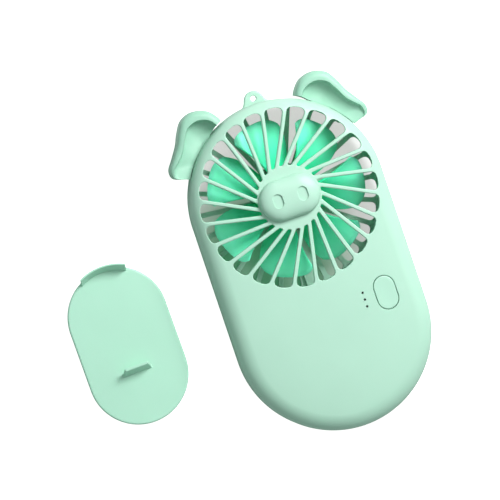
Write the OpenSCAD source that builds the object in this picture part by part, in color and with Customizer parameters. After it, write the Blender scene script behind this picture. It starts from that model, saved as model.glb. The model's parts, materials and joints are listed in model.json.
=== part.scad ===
// Handheld electric fan with animal ears and snout, and a loose stand plate.
// The fan lies on its back: its back plane is z = 0 and its front face points to +Z.
// The origin is where the impeller's axis meets the back plane. +Y points to the lanyard loop.

/* [Body] */
// Width of the fan body, which is the diameter of its two round ends
body_w = 72; // [71:0.5:74]
// Overall length of the fan body without the lanyard loop
body_l = 124; // [122:1:130]
// Thickness of the closed body
body_t = 22; // [22:0.5:23]
// Radius of the rounded front and back edges
edge_r = 4.5; // [4:0.1:4.8]
// Thickness of the side walls
side_wall = 1.9; // [1.8:0.1:2]
// Thickness of the front and back plates
plate_wall = 2; // [1.8:0.1:2]

/* [Grilles] */
// Number of ribs in each grille
rib_count = 24; // [20:1:28]
// Width of a front rib
front_rib_w = 1.4; // [1.2:0.1:1.8]
// Width of a rear rib
rear_rib_w = 1.8; // [1.4:0.1:2]
// Radius of the outer ends of the front slots
slot_outer_r = 33; // [32:0.1:33]
// Radius of the inner ends of the front slots, around the hub disc
slot_inner_r = 11.8; // [11.6:0.1:12.4]
// Radius of the circle that the front ribs' centre lines touch
rib_tangent_r = 6.08; // [5:0.01:7]

/* [Snout and ears] */
// Length of the snout
snout_l = 23; // [21:0.5:23]
// Height of the snout across its length
snout_w = 15.2; // [14:0.1:16]
// How far the snout stands out of the front face
snout_t = 4; // [3.6:0.1:5]
// Thickness of an ear
ear_t = 12; // [10:0.5:12]

/* [Impeller] */
// Number of blades
blade_count = 7; // [5:1:9]
// Radius of the blade tips
blade_tip_r = 29.6; // [28:0.1:30]
// Thickness of a blade
blade_t = 1.1; // [0.9:0.1:1.3]
// Height that a blade climbs from one edge to the other
blade_rise = 10; // [8:0.5:10]

/* [Button] */
// Width of the power button
button_w = 7.7; // [7:0.1:8]
// Length of the power button
button_l = 12.3; // [11:0.1:13]
// Gap around the button
button_gap = 0.25; // [0.2:0.05:0.35]

/* [Stand plate] */
// Width of the stand plate
stand_w = 37; // [34:0.5:38]
// Length of the stand plate
stand_l = 59.2; // [56:0.2:60]
// Thickness of the stand plate
stand_t = 1.8; // [1.6:0.1:2.2]
// Height of the lip and the tab above the plate
stand_rise = 5; // [4:0.5:6]
// How far the lip and the tab lean towards the lip's end, in degrees
stand_lean = 22; // [15:1:24]

/* [Hidden] */

$fn = 64;
eps = 0.2;

// How far cutting solids reach past a surface
past = 1;

// Body
body_r = body_w / 2;
body_run = body_l - body_w;
inner_r = body_r - side_wall;
flat_r = body_r - edge_r;
inner_edge_r = edge_r - side_wall;
parting_z = body_t / 2;
front_in_z = body_t - plate_wall;
edge_steps = 8;
lip_h = 1.2;
lip_t = 0.8;
lip_gap = 0.1;

// Duct between the impeller and the handle room
duct_wall = 1.2;
duct_r = inner_r;
duct_span = [187, 353];

// Grilles
rib_step = 360 / rib_count;
front_rib_turn = 3.35;
rear_rib_turn = 9.3;
rear_slot_outer_r = 33.9;
rear_slot_inner_r = 12.4;
slot_tip_round = 0.4;
slot_end_round = 1.6;
wire_rib_w = 5;
wire_notch = 1.6;
wire_spread = 1.2;
channel_from = 13;
channel_h = 2;
channel_t = 0.6;
half_channel = 2.4;

// Snout: its rounded edge, its two pegs and its nostrils
snout_round = 2.8;
snout_peg_x = 5;
snout_peg_r = 1;
snout_peg_gap = 0.05;
nostril_x = 4.75;
nostril_r = 1.9;
nostril_run = 1.8;
nostril_depth = 0.5;

// Lanyard loop
loop_hole_y = 38;
loop_hole_r = 1;
loop_r = 3.8;
loop_y = 37;
loop_t = 2.4;
loop_top_z = 10.8;
loop_base = 1.2;

// Case screws: two beside the duct and two at the foot
case_screws = [[29, -28], [-29, -28], [16, -77.5], [-16, -77.5]];
boss_r = 3;
boss_split_z = 9;
case_screw_r = 0.85;
case_screw_head_r = 1.9;
case_screw_head_z = 1.4;
case_screw_seat_z = 3.2;
case_screw_top_z = 15;
case_screw_cross = 2.4;
screw_fit = 0.02;
screw_hole_gap = 0.3;
head_gap = 0.2;

// Circuit board and what it carries
board_z = 12;
board_t = 1.2;
board_top_z = board_z + board_t;
board_posts = [[11.2, -39.2], [29.8, -39.4], [11.2, -60.8], [24.8, -60.8]];
post_r = 2;
board_screw_r = 0.6;
board_screw_head_r = 1.5;
board_screw_head_h = 1;
board_screw_l = 4.5;
board_screw_cross = 1.8;
chip_xy = [13.4, -55];
chip_size = [4, 5, 1.5];
inductor_xy = [20.4, -54.4];
inductor_size = [4.2, 4.2, 2];
button_xy = [22.3, -44.2];
led_x = 14.1;
led_ys = [-41.6, -44.2, -46.8];
led_hole_r = 0.4;
led_size = [1.6, 0.8, 0.6];
guide_bar_z = 18.2;
guide_bar_w = 2;
guide_bar_over = 1.2;
guide_pin_z = 14;
guide_pin_r = 0.7;
guide_gap = 0.04;
usb_y = -54;
usb_w = 8.94;
usb_h = 3.26;
usb_l = 7.3;
usb_mouth_x = 34.8;
usb_z = board_top_z + usb_h / 2;
usb_wall = 0.3;
usb_back = 0.8;
usb_gap = 0.3;
tongue_w = 6.7;
tongue_t = 0.7;

// Power button, its flange and stem, and the switch under it
button_flange = 1;
button_flange_t = 1.2;
button_flange_gap = 0.1;
stem_r = 1.5;
plunger_r = 1.6;
plunger_z = 16.3;
plunger_top_z = 17.3;
switch_size = 6;
switch_h = 3.5;
switch_well_z = 15.7;

// Battery
battery_l = 48;
battery_w = 30;
battery_t = 7.5;
battery_xy = [-3, -54];
battery_z = 2.6;
pad_size = [40, 20];

// Leads
lead_r = 0.5;
lead_sides = 8;

// Motor, from the axis outwards
shaft_r = 0.75;
bearing_gap = 0.03;
bearing_r = 1.9;
tube_r = 2.5;
tube_floor_z = 0.8;
tube_top_z = 9.6;
tube_floor_t = 0.6;
tube_fit = 0.02;
sleeve_z = 2.4;
shaft_z = 1.6;
shaft_l = 12.4;
press_fit = 0.01;
clip_r = 1.5;
clip_z = 1.8;
clip_t = 0.25;
motor_board_r = 8.5;
motor_board_t = 1;
stator_z = 4.6;
stator_h = 3.2;
stator_r = 8;
stator_root_r = 4.4;
shoe_r = 7;
shoe_half_angle = 16;
tooth_count = 9;
tooth_w = 1.4;
winding_x = 4.6;
winding_l = 2.2;
winding_w = 2.6;
winding_over = 0.8;
winding_gap = 0.03;
magnet_z = 4.2;
magnet_h = 4.2;
magnet_r = 8.3;
cup_r = 9.7;
cup_wall = 0.6;
cup_z = 3.7;
cup_top_z = 10.5;
hub_r = 11;
hub_top_z = 16.6;
hub_round = 1.6;
hub_wall = 1.4;
hub_post_r = 2.4;
hub_bore_top_z = 14.2;
rotor_floor_z = 3.9;

// Ears: the outer edge of the right ear from its upper foot round the tip to its lower foot,
// and the edge of the hollow in it
ear_edge = [[13.6, 32.6], [15.3, 36.3], [18.4, 39.4], [23.4, 40.6], [28.1, 38.9], [30.8, 34.9],
    [32.7, 30.8], [35.6, 26.4], [37.9, 22.9], [37.5, 19.7], [34, 18.2], [30.2, 17.8]];
ear_hollow = [[17, 32], [19.6, 35.3], [22.8, 36.4], [25.6, 35.4], [28, 32.2], [30, 29],
    [32.2, 26.2], [34.6, 23.4], [33.4, 21.4], [30, 20]];
ear_z = 6;
ear_hollow_depth = 2.4;
ear_gap = 0.1;
ear_neck = [36, 57];
ear_neck_z = 8.5;
ear_neck_h = 5;
ear_flange = [33, 60];
ear_flange_t = 0.9;
ear_flange_over = 0.8;
ear_neck_side = 0.2;

// Impeller blades
blade_mid_z = 10.8;
blade_turn = -8;
blade_corner = 2.6;
blade_bulge = 0.1;
blade_root = 0.6;
blade_half_width = 19;
blade_sweep = 9;
blade_span_steps = 6;
blade_chord_steps = 8;

// Stand plate, beside the fan
stand_xy = [-71.8, -33.2];
stand_turn = 1;
stand_r = stand_w / 2;
stand_run = stand_l - stand_w;
stand_edge = 0.6;
stand_lip_w = 17.8;
stand_lip_t = 1.1;
stand_lip_set = 0.6;
stand_tab_w = 10.9;
stand_tab_t = 1.15;
stand_tab_y = -9.8;
stand_end_slope = 1;
stand_shift = stand_rise * tan(stand_lean);
tab_slot_w = 11.3;
tab_slot_h = 1.5;
tab_slot_z = 6.5;
tab_slot_depth = 6;
tab_block_wall = 1.2;
tab_block_h = 7.4;

// Points on an arc
function arc(centre, r, from, to, steps) =
    [for (i = [0:steps]) let (a = from + (to - from) * i / steps)
        [centre[0] + r * cos(a), centre[1] + r * sin(a)]];

// One point of a smooth curve between b and c, with neighbours a and d
function between(a, b, c, d, t) =
    0.5 * (2 * b + (c - a) * t + (2 * a - 5 * b + 4 * c - d) * t * t
        + (3 * b - a - 3 * c + d) * t * t * t);

// A smooth open curve through a list of points
function smooth(p, steps) = let (last = len(p) - 1)
    concat([for (i = [0:last - 1]) for (j = [0:steps - 1])
        between(p[max(i - 1, 0)], p[i], p[i + 1], p[min(i + 2, last)], j / steps)], [p[last]]);

// Unit vector from a to b
function toward(a, b) = (b - a) / norm(b - a);

// Points that round one corner of an outline
function round_corner(before, p, after, r, steps) =
    let (u = toward(p, before), v = toward(p, after), half = acos(u * v) / 2,
        reach = r / tan(half), mid = p + (u + v) / norm(u + v) * r / sin(half),
        start = p + u * reach - mid, a0 = atan2(start[1], start[0]),
        stop = p + v * reach - mid, a1 = atan2(stop[1], stop[0]),
        turn = a1 - a0 > 180 ? a1 - a0 - 360 : (a1 - a0 < -180 ? a1 - a0 + 360 : a1 - a0))
    arc(mid, r, a0, a0 + turn, steps);

// Point at radius r on a straight line that passes the axis at a distance, facing angle
function on_line(distance, angle, r) =
    let (a = angle - acos(distance / r)) [r * cos(a), r * sin(a)];

// Outline of one grille slot between two ribs that pass the axis at the tangent radius
function slot_outline(tangent, angle, rib_w, r_in, r_out) =
    let (low = tangent + rib_w / 2, high = tangent - rib_w / 2, next = angle + rib_step,
        a = on_line(low, angle, r_in), b = on_line(low, angle, r_out),
        c = on_line(high, next, r_out), d = on_line(high, next, r_in),
        a_b = atan2(b[1], b[0]), wide = atan2(c[1], c[0]) - a_b,
        span = wide < 0 ? wide + 360 : wide,
        end_r = slot_end_round, tip_r = slot_tip_round, inset = span * 0.3)
    concat(round_corner(d, a, b, tip_r, 3), round_corner(a, b, c, end_r, 4),
        arc([0, 0], r_out, a_b + inset, a_b + span - inset, 2),
        round_corner(b, c, d, end_r, 4), round_corner(c, d, a, tip_r, 3));

// A round-ended solid that runs along Y: profile holds [distance from the core line, height]
module long_round(profile, run) {
    translate([0, run / 2, 0])
        rotate_extrude(angle = 180)
            polygon(profile);
    translate([0, -run / 2, 0])
        rotate([0, 0, 180])
            rotate_extrude(angle = 180)
                polygon(profile);
    for (side = [0, 1])
        mirror([side, 0, 0])
            translate([0, run / 2, 0])
                rotate([90, 0, 0])
                    linear_extrude(run)
                        polygon(profile);
}

// A flat-topped, round-ended block
module long_block(r, run, z0, z1) {
    long_round([[0, z0], [r, z0], [r, z1], [0, z1]], run);
}

// A solid along the whole body's outline
module body_sweep(profile) {
    translate([0, -body_run / 2, 0])
        long_round(profile, body_run);
}

module ring(r_out, r_in, z0, z1) {
    translate([0, 0, z0])
        difference() {
            cylinder(r = r_out, h = z1 - z0);
            translate([0, 0, -eps])
                cylinder(r = r_in, h = z1 - z0 + 2 * eps);
        }
}

module sector(r_in, r_out, angles, z0, z1) {
    rotate([0, 0, angles[0]])
        rotate_extrude(angle = angles[1] - angles[0])
            polygon([[r_in, z0], [r_out, z0], [r_out, z1], [r_in, z1]]);
}

// Half shell: the back half, which the front half mirrors
module half_shell() {
    body_sweep(concat([[0, 0]], arc([flat_r, edge_r], edge_r, -90, 0, edge_steps),
        [[body_r, parting_z], [inner_r, parting_z]],
        arc([inner_r - inner_edge_r, plate_wall + inner_edge_r], inner_edge_r, 0, -90, edge_steps),
        [[0, plate_wall]]));
}

// Half of the duct's wall, on the side of the handle
module duct_half(z0, z1) {
    sector(duct_r, duct_r + duct_wall, duct_span, z0, z1);
}

// Cut-out in both covers for one ear's neck
module ear_cut(clearance) {
    sector(inner_r - past, body_r + past, [ear_neck[0] - ear_neck_side, ear_neck[1] + ear_neck_side],
        ear_neck_z - clearance, ear_neck_z + ear_neck_h + clearance);
}

module both_ears() {
    for (side = [0, 1])
        mirror([side, 0, 0])
            children();
}

module front_slots() {
    for (k = [0:rib_count - 1])
        translate([0, 0, front_in_z - past])
            linear_extrude(plate_wall + 2 * past)
                polygon(slot_outline(rib_tangent_r, front_rib_turn + k * rib_step, front_rib_w,
                    slot_inner_r, slot_outer_r));
}

module rear_slots() {
    for (k = [0:rib_count - 1])
        translate([0, 0, -past])
            linear_extrude(plate_wall + 3 * past)
                polygon(slot_outline(0, rear_rib_turn + k * rib_step + 90, rear_rib_w,
                    rear_slot_inner_r, rear_slot_outer_r));
}

module front_cover() {
    color([0.76, 0.94, 0.86])
        difference() {
            union() {
                translate([0, 0, body_t])
                    mirror([0, 0, 1])
                        half_shell();
                duct_half(parting_z, front_in_z + eps);
                for (p = case_screws)
                    translate([p[0], p[1], boss_split_z])
                        cylinder(r = boss_r, h = front_in_z - boss_split_z + eps);
                for (p = board_posts)
                    translate([p[0], p[1], board_top_z])
                        cylinder(r = post_r, h = front_in_z - board_top_z + eps);
            }
            front_slots();
            body_sweep([[inner_r - eps, parting_z - eps], [inner_r + lip_t + lip_gap, parting_z - eps],
                [inner_r + lip_t + lip_gap, parting_z + lip_h + lip_gap],
                [inner_r - eps, parting_z + lip_h + lip_gap]]);
            both_ears()
                ear_cut(ear_gap);
            translate([button_xy[0], button_xy[1], 0])
                long_block(button_w / 2 + button_gap, button_l - button_w, front_in_z - past,
                    body_t + past);
            for (y = led_ys)
                translate([led_x, y, front_in_z - past])
                    cylinder(r = led_hole_r, h = plate_wall + 2 * past);
            translate([inner_r - past, usb_y, usb_z])
                rotate([0, 90, 0])
                    long_block(usb_h / 2 + usb_gap, usb_w - usb_h, 0, side_wall + 2 * past);
            for (x = [-1, 1])
                translate([x * snout_peg_x, 0, front_in_z - past])
                    cylinder(r = snout_peg_r + snout_peg_gap, h = plate_wall + 2 * past);
            for (p = case_screws)
                translate([p[0], p[1], boss_split_z - past])
                    cylinder(r = case_screw_r, h = case_screw_top_z - boss_split_z + 2 * past);
            for (p = board_posts)
                translate([p[0], p[1], board_top_z - past])
                    cylinder(r = board_screw_r, h = board_screw_l + past);
        }
}

module lanyard_loop() {
    difference() {
        union() {
            translate([0, loop_y, loop_top_z - loop_t])
                cylinder(r = loop_r, h = loop_t);
            translate([-loop_r - loop_base, inner_r, loop_top_z - loop_t])
                cube([2 * (loop_r + loop_base), side_wall - eps / 2, loop_t]);
        }
        translate([0, 0, loop_top_z - loop_t - past])
            cylinder(r = inner_r + eps, h = loop_t + 2 * past);
    }
}

module rear_cover() {
    color([0.73, 0.92, 0.83])
        difference() {
            union() {
                half_shell();
                body_sweep([[inner_r, parting_z - 1], [inner_r + lip_t, parting_z - 1],
                    [inner_r + lip_t, parting_z + lip_h], [inner_r, parting_z + lip_h]]);
                duct_half(plate_wall - eps, parting_z);
                lanyard_loop();
                for (p = case_screws)
                    translate([p[0], p[1], plate_wall - eps])
                        cylinder(r = boss_r, h = boss_split_z - plate_wall + eps);
                translate([-tab_slot_w / 2 - tab_block_wall, -body_run - inner_r - eps, plate_wall - eps])
                    cube([tab_slot_w + 2 * tab_block_wall, tab_slot_depth, tab_block_h]);
            }
            difference() {
                rear_slots();
                translate([-wire_rib_w / 2, -inner_r, -2 * past])
                    cube([wire_rib_w, inner_r, plate_wall + 4 * past]);
            }
            both_ears()
                ear_cut(ear_gap);
            translate([0, loop_hole_y, loop_top_z - loop_t - past])
                cylinder(r = loop_hole_r, h = loop_t + 2 * past);
            translate([0, 0, tube_floor_z])
                cylinder(r = tube_r + tube_fit, h = plate_wall);
            for (p = case_screws)
                translate([p[0], p[1], -past]) {
                    cylinder(r = case_screw_head_r + head_gap, h = case_screw_seat_z + past);
                    cylinder(r = case_screw_r + screw_hole_gap, h = boss_split_z + 2 * past);
                }
            translate([-tab_slot_w / 2, -body_run - body_r - past, tab_slot_z - tab_slot_h / 2])
                cube([tab_slot_w, tab_slot_depth + past, tab_slot_h]);
            for (x = [-1, 1])
                translate([x * wire_spread - wire_notch / 2, -duct_r - duct_wall - past, plate_wall])
                    cube([wire_notch, duct_wall + 2 * past, wire_notch]);
        }
}

module snout_cap() {
    half_w = snout_w / 2;
    top_z = body_t + snout_t;
    color([0.78, 0.95, 0.87])
        difference() {
            union() {
                rotate([0, 0, 90])
                    long_round(concat([[0, body_t], [half_w, body_t]],
                        arc([half_w - snout_round, top_z - snout_round], snout_round, 0, 90, edge_steps),
                        [[0, top_z]]), snout_l - snout_w);
                for (x = [-1, 1])
                    translate([x * snout_peg_x, 0, front_in_z])
                        cylinder(r = snout_peg_r, h = plate_wall + eps);
            }
            for (x = [-1, 1])
                translate([x * nostril_x, 0, 0])
                    long_block(nostril_r, nostril_run, top_z - nostril_depth, top_z + past);
        }
}

module ear() {
    difference() {
        translate([0, 0, ear_z])
            linear_extrude(ear_t)
                polygon(smooth(ear_edge, 3));
        translate([0, 0, ear_z + ear_t - ear_hollow_depth])
            linear_extrude(ear_hollow_depth + past)
                polygon(smooth(ear_hollow, 3));
        translate([0, 0, ear_z - past])
            cylinder(r = body_r + ear_gap, h = ear_t + 2 * past);
    }
    sector(inner_r - ear_gap - ear_flange_t / 2, body_r + ear_gap + eps, ear_neck,
        ear_neck_z, ear_neck_z + ear_neck_h);
    sector(inner_r - ear_gap - ear_flange_t, inner_r - ear_gap, ear_flange,
        ear_neck_z - ear_flange_over, ear_neck_z + ear_neck_h + ear_flange_over);
}

module ear_right() {
    color([0.70, 0.93, 0.82])
        ear();
}

module ear_left() {
    color([0.70, 0.93, 0.82])
        mirror([1, 0, 0])
            ear();
}

module power_button() {
    cap_r = button_w / 2;
    run = button_l - button_w;
    flange_z = front_in_z - button_flange_gap - button_flange_t;
    color([0.80, 0.96, 0.88])
        translate([button_xy[0], button_xy[1], 0]) {
            long_block(cap_r, run, front_in_z - eps, body_t);
            long_block(cap_r + button_flange, run, flange_z, flange_z + button_flange_t);
            translate([0, 0, plunger_top_z])
                cylinder(r = stem_r, h = flange_z + eps - plunger_top_z);
        }
}

module switch_plunger() {
    color([0.15, 0.15, 0.16])
        translate([button_xy[0], button_xy[1], plunger_z])
            cylinder(r = plunger_r, h = plunger_top_z - plunger_z);
}

module tact_switch() {
    color([0.22, 0.22, 0.24])
        difference() {
            translate([button_xy[0] - switch_size / 2, button_xy[1] - switch_size / 2, board_top_z])
                cube([switch_size, switch_size, switch_h]);
            translate([button_xy[0], button_xy[1], switch_well_z])
                cylinder(r = plunger_r + 0.1, h = switch_h);
        }
}

module light_guide() {
    color([0.10, 0.16, 0.14]) {
        translate([led_x - guide_bar_w / 2, led_ys[2] - guide_bar_over, guide_bar_z])
            cube([guide_bar_w, led_ys[0] - led_ys[2] + 2 * guide_bar_over, front_in_z - guide_bar_z]);
        for (y = led_ys) {
            translate([led_x, y, guide_pin_z])
                cylinder(r = guide_pin_r, h = guide_bar_z - guide_pin_z + eps);
            translate([led_x, y, front_in_z - eps])
                cylinder(r = led_hole_r - guide_gap, h = plate_wall - eps / 2);
        }
    }
}

module status_leds() {
    color([0.9, 0.85, 0.4])
        for (y = led_ys)
            translate([led_x - led_size[0] / 2, y - led_size[1] / 2, board_top_z])
                cube(led_size);
}

module circuit_board() {
    color([0.05, 0.35, 0.18])
        difference() {
            translate([0, 0, board_z])
                linear_extrude(board_t)
                    polygon([[8.8, -37.2], [32.4, -37.2], [32.4, -57.4], [27.6, -63.2], [8.8, -63.2]]);
            for (p = board_posts)
                translate([p[0], p[1], board_z - past])
                    cylinder(r = board_screw_r + screw_hole_gap, h = board_t + 2 * past);
        }
}

module control_chip() {
    color([0.08, 0.08, 0.09])
        translate([chip_xy[0], chip_xy[1], board_top_z])
            cube(chip_size);
}

module inductor() {
    color([0.18, 0.18, 0.2])
        translate([inductor_xy[0], inductor_xy[1], board_top_z + inductor_size[2] / 2])
            cube(inductor_size, center = true);
}

module usb_socket() {
    color([0.75, 0.76, 0.78])
        translate([usb_mouth_x - usb_l, usb_y, usb_z])
            rotate([0, 90, 0])
                difference() {
                    long_block(usb_h / 2, usb_w - usb_h, 0, usb_l);
                    long_block(usb_h / 2 - usb_wall, usb_w - usb_h, usb_back, usb_l + past);
                }
}

module usb_tongue() {
    color([0.1, 0.1, 0.11])
        translate([usb_mouth_x - usb_l + usb_back, usb_y - tongue_w / 2, usb_z - tongue_t / 2])
            cube([usb_l - 2 * usb_back, tongue_w, tongue_t]);
}

// Pan-head screw with a cross recess, head down, its seat at height z
module screw(head_r, head_h, shank_r, shank_l, cross) {
    difference() {
        translate([0, 0, -head_h])
            cylinder(r = head_r, h = head_h);
        for (turn = [0, 90])
            rotate([0, 0, turn])
                translate([-cross / 2, -cross / 8, -head_h - past])
                    cube([cross, cross / 4, past + head_h / 2]);
    }
    cylinder(r = shank_r, h = shank_l);
}

module board_screws() {
    color([0.7, 0.7, 0.72])
        for (p = board_posts)
            translate([p[0], p[1], board_z])
                screw(board_screw_head_r, board_screw_head_h, board_screw_r - screw_fit,
                    board_screw_l, board_screw_cross);
}

module cover_screws() {
    color([0.7, 0.7, 0.72])
        for (p = case_screws)
            translate([p[0], p[1], case_screw_seat_z])
                screw(case_screw_head_r, case_screw_seat_z - case_screw_head_z,
                    case_screw_r - screw_fit, case_screw_top_z - case_screw_seat_z, case_screw_cross);
}

module battery_cell() {
    color([0.55, 0.6, 0.66])
        translate([battery_xy[0] - battery_l / 2, battery_xy[1], battery_z + battery_t / 2])
            rotate([0, 90, 0])
                long_block(battery_t / 2, battery_w - battery_t, 0, battery_l);
}

module battery_pad() {
    color([0.9, 0.9, 0.88])
        translate([battery_xy[0], battery_xy[1], (plate_wall + battery_z) / 2])
            cube([pad_size[0], pad_size[1], battery_z - plate_wall], center = true);
}

// A lead: a tube of even radius along a smooth route that never runs along side
module lead(route, side) {
    path = smooth(route, 2);
    last = len(path) - 1;
    dirs = [for (i = [0:last]) toward(path[max(i - 1, 0)], path[min(i + 1, last)])];
    points = [for (i = [0:last]) let (u = toward([0, 0, 0], cross(dirs[i], side)),
            v = cross(dirs[i], u))
        for (k = [0:lead_sides - 1]) let (a = 360 * k / lead_sides)
            path[i] + lead_r * (u * cos(a) + v * sin(a))];
    walls = [for (i = [0:last - 1]) for (k = [0:lead_sides - 1]) let (n = (k + 1) % lead_sides)
        [i * lead_sides + k, i * lead_sides + n, (i + 1) * lead_sides + n, (i + 1) * lead_sides + k]];
    first_cap = [for (k = [0:lead_sides - 1]) lead_sides - 1 - k];
    last_cap = [for (k = [0:lead_sides - 1]) last * lead_sides + k];
    polyhedron(points = points, faces = concat(walls, [first_cap, last_cap]));
}

// From the motor board along the wire rib, through the duct wall, along a lane of its own and up
module motor_lead(x, lane_y, end_x) {
    end_y = -38.2;
    lead([[x, -8.7, 2.6], [x, -20, 2.6], [x, -34, 2.7], [x, -35.8, 2.9], [x + 1.2, lane_y, 3.2],
        [x + 4, lane_y, 3.4], [end_x - 2, lane_y, 3.6], [end_x, lane_y, 5.4], [end_x, end_y, 8.4],
        [end_x, end_y, board_z]], [0.3, 0.3, 1]);
}

module motor_lead_red() {
    color([0.8, 0.1, 0.1])
        motor_lead(wire_spread, -36.7, 17.2);
}

module motor_lead_black() {
    color([0.08, 0.08, 0.08])
        motor_lead(-wire_spread, -38.1, 14.8);
}

// Channel over the leads on the wire rib, in line with the grille
module wire_channel() {
    top_z = plate_wall + channel_h;
    color([0.73, 0.92, 0.83])
        rotate([0, 0, -90])
            rotate([90, 0, 90])
                translate([0, 0, channel_from])
                    linear_extrude(duct_r - 0.3 - channel_from)
                        polygon([[-half_channel, plate_wall], [-half_channel, top_z], [half_channel, top_z],
                            [half_channel, plate_wall], [half_channel - channel_t, plate_wall],
                            [half_channel - channel_t, top_z - channel_t],
                            [channel_t - half_channel, top_z - channel_t],
                            [channel_t - half_channel, plate_wall]]);
}

// From the battery's end up to the circuit board
module battery_lead(y) {
    end_x = battery_xy[0] + battery_l / 2;
    lead([[end_x, y, 6], [end_x + 1.2, y + 0.1, 6.1], [end_x + 2.6, y + 0.4, 7.2],
        [end_x + 3, y + 0.6, 9], [end_x + 3, y + 0.6, 10.4], [end_x + 3, y + 0.6, 12]], [0, 1, 0]);
}

module battery_lead_red() {
    color([0.8, 0.1, 0.1])
        battery_lead(-49);
}

module battery_lead_black() {
    color([0.08, 0.08, 0.08])
        battery_lead(-52);
}

module motor_board() {
    color([0.05, 0.35, 0.18])
        ring(motor_board_r, tube_r + 0.1, plate_wall, plate_wall + motor_board_t);
}

module bearing_tube() {
    color([0.8, 0.65, 0.3])
        difference() {
            translate([0, 0, tube_floor_z])
                cylinder(r = tube_r, h = tube_top_z - tube_floor_z);
            translate([0, 0, tube_floor_z + tube_floor_t])
                cylinder(r = bearing_r, h = tube_top_z);
        }
}

module sleeve_bearing() {
    color([0.7, 0.5, 0.3])
        ring(bearing_r - press_fit, shaft_r + bearing_gap, sleeve_z, tube_top_z - eps);
}

// Outline of one stator tooth with its pole shoe, centred on an angle
function tooth_outline(angle) =
    let (root = asin(tooth_w / 2 / stator_root_r), tip = asin(tooth_w / 2 / shoe_r),
        gap = 180 / tooth_count)
    concat(arc([0, 0], stator_root_r, angle - gap, angle - root, 2),
        arc([0, 0], shoe_r, angle - tip, angle - shoe_half_angle, 1),
        arc([0, 0], stator_r, angle - shoe_half_angle, angle + shoe_half_angle, 6),
        arc([0, 0], shoe_r, angle + shoe_half_angle, angle + tip, 1),
        arc([0, 0], stator_root_r, angle + root, angle + (root + gap) / 2, 1));

module stator_core() {
    color([0.6, 0.61, 0.63])
        translate([0, 0, stator_z])
            difference() {
                linear_extrude(stator_h)
                    polygon([for (k = [0:tooth_count - 1]) each tooth_outline(360 * k / tooth_count)]);
                translate([0, 0, -past])
                    cylinder(r = tube_r + tube_fit, h = stator_h + 2 * past);
            }
}

module stator_windings() {
    color([0.75, 0.4, 0.2])
        for (k = [0:tooth_count - 1])
            rotate([0, 0, 360 * k / tooth_count])
                difference() {
                    translate([winding_x, -winding_w / 2, stator_z - winding_over])
                        cube([winding_l, winding_w, stator_h + 2 * winding_over]);
                    translate([winding_x - past, -tooth_w / 2 - winding_gap, stator_z - winding_gap])
                        cube([winding_l + 2 * past, tooth_w + 2 * winding_gap,
                            stator_h + 2 * winding_gap]);
                }
}

module motor_shaft() {
    color([0.78, 0.79, 0.8])
        translate([0, 0, shaft_z])
            cylinder(r = shaft_r, h = shaft_l);
}

module retaining_clip() {
    color([0.3, 0.3, 0.32])
        ring(clip_r, shaft_r + press_fit, clip_z, clip_z + clip_t);
}

module rotor_cup() {
    color([0.7, 0.71, 0.73])
        difference() {
            translate([0, 0, cup_z])
                cylinder(r = cup_r, h = cup_top_z - cup_z);
            translate([0, 0, cup_z - past])
                cylinder(r = cup_r - cup_wall, h = cup_top_z - cup_z - cup_wall + past);
            cylinder(r = shaft_r + press_fit, h = body_t);
        }
}

module magnet_ring() {
    color([0.25, 0.25, 0.27])
        ring(cup_r - cup_wall - tube_fit, magnet_r, magnet_z, magnet_z + magnet_h);
}

// Height of a blade across its chord: s runs from -1 at the low edge to 1 at the high edge
function blade_z(s) = blade_mid_z + blade_rise / 2 * s;

// Outer radius across the chord, rounded at both corners
function blade_r(s) = blade_tip_r - blade_corner * pow(abs(s), 5);

// Angle of a blade point: the blade sweeps forward towards its tip
function blade_a(r, s) = let (t = (r - hub_r) / (blade_tip_r - hub_r))
    blade_sweep * t * t - blade_sweep / 2 + blade_half_width * s * (1 + blade_bulge * sin(180 * t));

module blade() {
    rows = blade_span_steps;
    cols = blade_chord_steps;
    root = hub_r - blade_root;
    per_row = cols + 1;
    count = (rows + 1) * per_row;
    surface = [for (side = [-1, 1]) for (i = [0:rows]) for (j = [0:cols])
        let (s = 2 * j / cols - 1, r = root + (blade_r(s) - root) * i / rows, a = blade_a(r, s))
            [r * cos(a), r * sin(a), blade_z(s) + side * blade_t / 2]];
    top = [for (i = [0:rows - 1]) for (j = [0:cols - 1]) let (p = count + i * per_row + j)
        [p, p + 1, p + per_row + 1, p + per_row]];
    bottom = [for (i = [0:rows - 1]) for (j = [0:cols - 1]) let (p = i * per_row + j)
        [p, p + per_row, p + per_row + 1, p + 1]];
    rim = concat([for (j = [0:cols]) j], [for (i = [1:rows]) i * per_row + cols],
        [for (j = [1:cols]) count - 1 - j], [for (i = [1:rows - 1]) (rows - i) * per_row]);
    edge = [for (i = [0:len(rim) - 1]) let (p = rim[i], q = rim[(i + 1) % len(rim)])
        [p, q, q + count, p + count]];
    polyhedron(points = surface, faces = concat(top, bottom, edge));
}

module impeller() {
    bore_r = cup_r + tube_fit;
    color([0.30, 0.85, 0.62])
        union() {
            difference() {
                rotate_extrude()
                    polygon(concat([[0, rotor_floor_z], [hub_r, rotor_floor_z]],
                        arc([hub_r - hub_round, hub_top_z - hub_round], hub_round, 0, 90, 4),
                        [[0, hub_top_z]]));
                translate([0, 0, rotor_floor_z - past])
                    cylinder(r = bore_r, h = cup_top_z - rotor_floor_z + past + press_fit);
                difference() {
                    cylinder(r = hub_r - hub_wall, h = hub_top_z - hub_wall);
                    cylinder(r = hub_post_r, h = hub_top_z);
                }
                cylinder(r = shaft_r + press_fit, h = hub_bore_top_z);
            }
            for (k = [0:blade_count - 1])
                rotate([0, 0, blade_turn + 360 * k / blade_count])
                    blade();
        }
}

// The leaning lip and tab are straight prisms along their lean
module leaning(shape_y) {
    rotate([90, 0, 90])
        linear_extrude(stand_tab_w, center = true)
            polygon(shape_y);
}

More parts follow.
